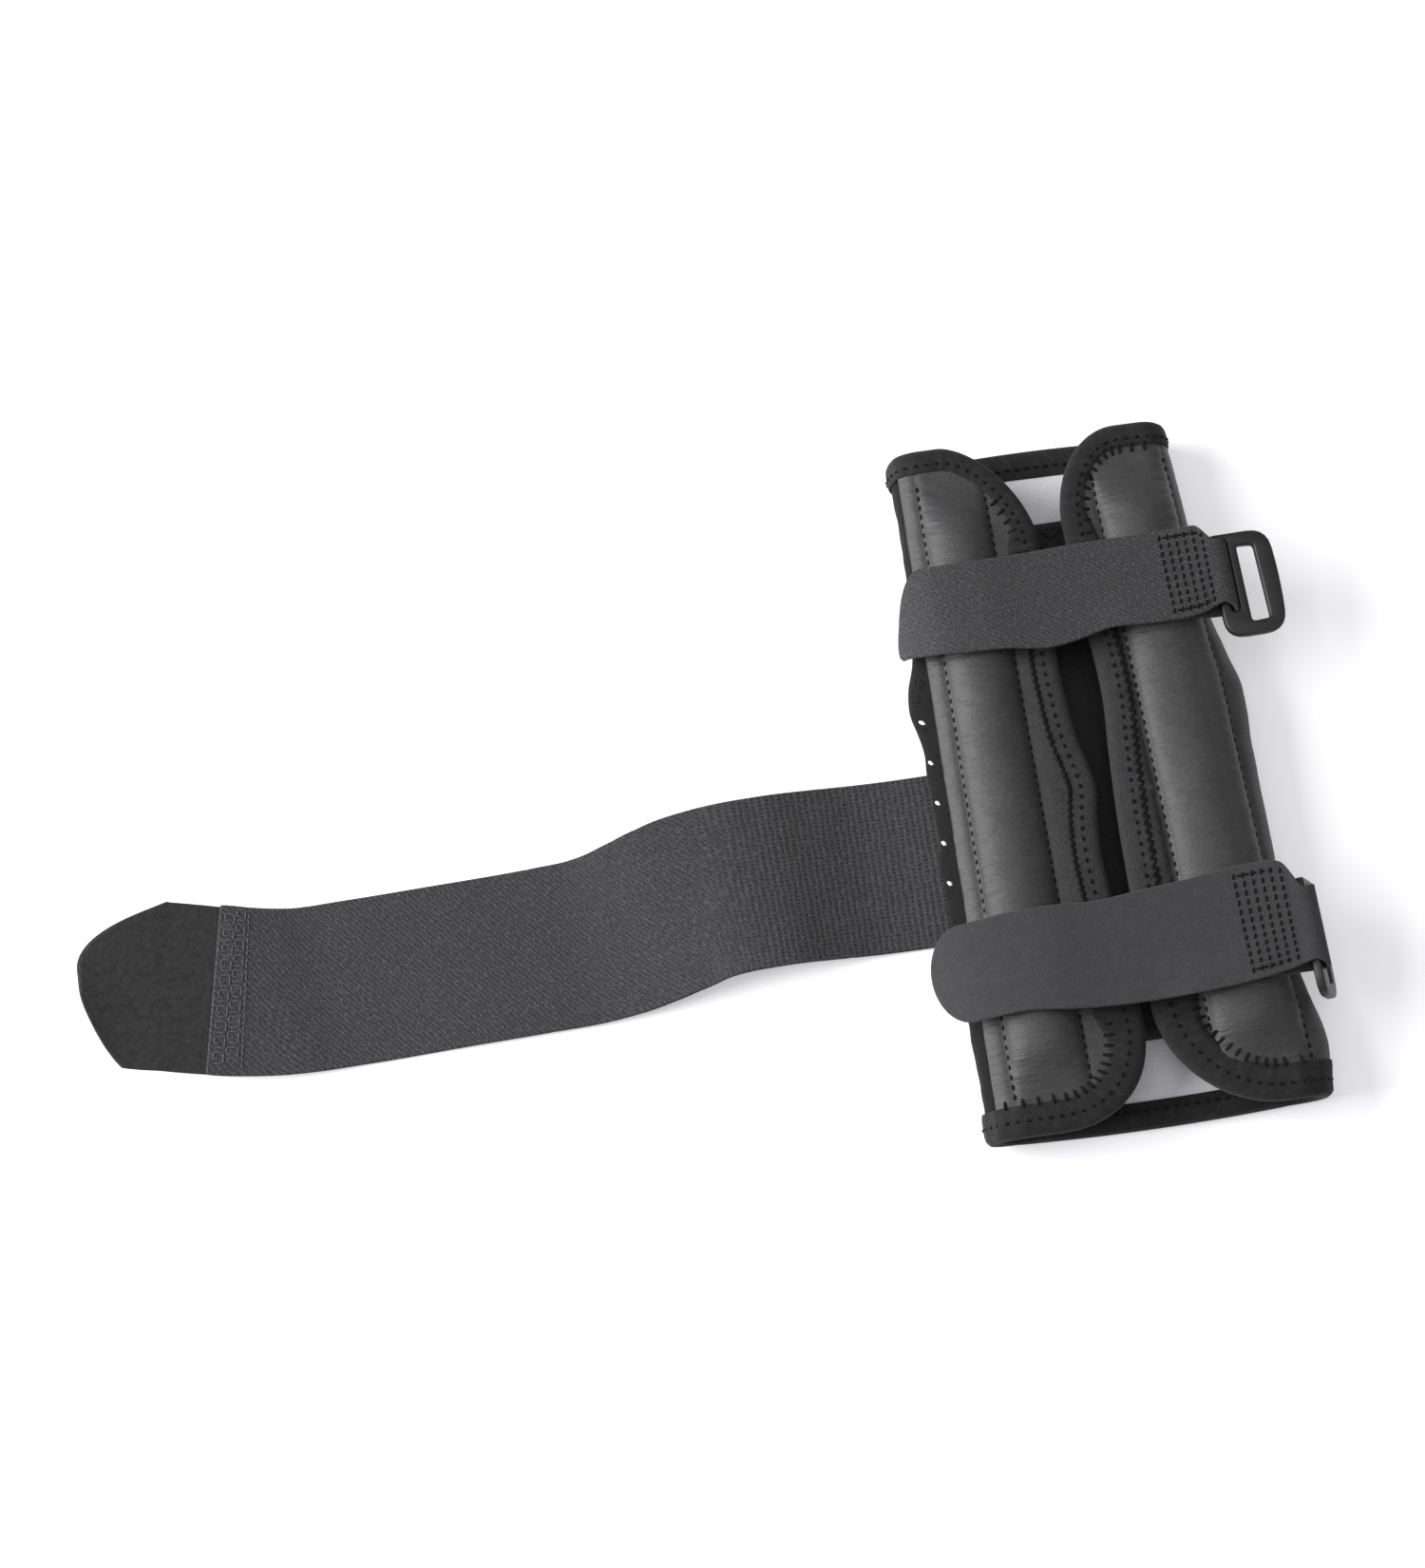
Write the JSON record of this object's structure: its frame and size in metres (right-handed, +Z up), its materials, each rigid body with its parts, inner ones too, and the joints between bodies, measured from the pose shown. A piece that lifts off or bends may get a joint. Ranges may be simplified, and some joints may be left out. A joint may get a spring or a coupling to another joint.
{
  "type": "wrist guard",
  "caption": "Soft wrist guard rolled into a flat open tube, with leather fronts over splints, strap rings and a wide strap laid out to one side.",
  "frame": {"origin": "middle of the flat underside of the back, where the guard lies on a table", "axes": "+Y along the forearm towards the hand, +X towards the strap rings, away from the wide wrist strap, +Z up through the opening between the two front wings"},
  "size_m": [0.3573, 0.2022, 0.0295],
  "materials": {
    "leather": "fine grain, low sheen",
    "neoprene": "matt padded fabric",
    "lining": "matt",
    "pad_fabric": "matt",
    "binding_tape": "matt woven",
    "strap_fabric": "matt woven",
    "hook_tape": "matt",
    "foam": "matt",
    "splint_metal": "satin",
    "ring_plastic": "satin"
  },
  "bodies": {
    "back": {"back_shell": "neoprene", "back_lining": "lining", "back_pad": "pad_fabric", "back_binding_hand": "binding_tape", "back_binding_forearm": "binding_tape", "left_gusset": "neoprene", "right_gusset": "neoprene", "wrist_strap_root": "strap_fabric"},
    "left_wing": {"left_wing_wall": "neoprene", "left_leather_cover": "leather", "left_edge_binding": "binding_tape", "left_splint": "splint_metal", "left_splint_foam": "foam", "hand_loop_patch": "strap_fabric", "forearm_loop_patch": "strap_fabric"},
    "right_wing": {"right_wing_wall": "neoprene", "right_leather_cover": "leather", "right_edge_binding": "binding_tape", "right_splint": "splint_metal", "right_splint_foam": "foam", "hand_strap_anchor": "strap_fabric", "forearm_strap_anchor": "strap_fabric"},
    "hand_tab": {"hand_strap_tab": "strap_fabric", "hand_strap_hook_patch": "hook_tape"},
    "forearm_tab": {"forearm_strap_tab": "strap_fabric", "forearm_strap_hook_patch": "hook_tape"},
    "hand_ring": {"hand_ring": "ring_plastic"},
    "forearm_ring": {"forearm_ring": "ring_plastic"},
    "wrist_near": {"wrist_strap_near": "strap_fabric"},
    "wrist_middle": {"wrist_strap_middle": "strap_fabric"},
    "wrist_end": {"wrist_strap_end": "strap_fabric", "wrist_strap_hook_tab": "hook_tape"}
  },
  "joints": [
    {"name": "right_wing_open", "type": "hinge", "parent": "back", "child": "right_wing", "pos_m": [0.0445, 0, 0.0095], "axis": [-0.0311, 0.9995, 0], "range_deg": [0, 40]},
    {"name": "left_wing_open", "type": "hinge", "parent": "back", "child": "left_wing", "pos_m": [-0.0445, 0, 0.0095], "axis": [0.0311, 0.9995, 0], "range_deg": [-40, 0]},
    {"name": "hand_strap_peel", "type": "hinge", "parent": "right_wing", "child": "hand_tab", "pos_m": [0.026, 0.0538, 0.0285], "axis": [0, 1, 0], "range_deg": [0, 140]},
    {"name": "forearm_strap_peel", "type": "hinge", "parent": "right_wing", "child": "forearm_tab", "pos_m": [0.026, -0.0498, 0.0285], "axis": [0, 1, 0], "range_deg": [0, 140]},
    {"name": "hand_ring_swing", "type": "hinge", "parent": "right_wing", "child": "hand_ring", "pos_m": [0.0458, 0.0538, 0.026], "axis": [0, -1, 0], "range_deg": [-80, 60]},
    {"name": "forearm_ring_swing", "type": "hinge", "parent": "right_wing", "child": "forearm_ring", "pos_m": [0.05, -0.0498, 0.026], "axis": [0, -1, 0], "range_deg": [-13, 125]},
    {"name": "wrist_strap_lift", "type": "hinge", "parent": "back", "child": "wrist_near", "pos_m": [-0.05815, -0.0125, 0.0013], "axis": [0, -1, 0], "range_deg": [-70, 0]},
    {"name": "wrist_strap_wrap", "type": "hinge", "parent": "wrist_near", "child": "wrist_middle", "pos_m": [-0.09397, -0.0125, 0.00907], "axis": [0, -1, 0], "range_deg": [-110, 0]},
    {"name": "wrist_strap_end_peel", "type": "hinge", "parent": "wrist_middle", "child": "wrist_end", "pos_m": [-0.22815, -0.0205, 0.00245], "axis": [0, 1, 0], "range_deg": [0, 80]}
  ],
  "couplings": [
    {"joint": "left_wing_open", "follows": "right_wing_open", "ratio": -1}
  ]
}
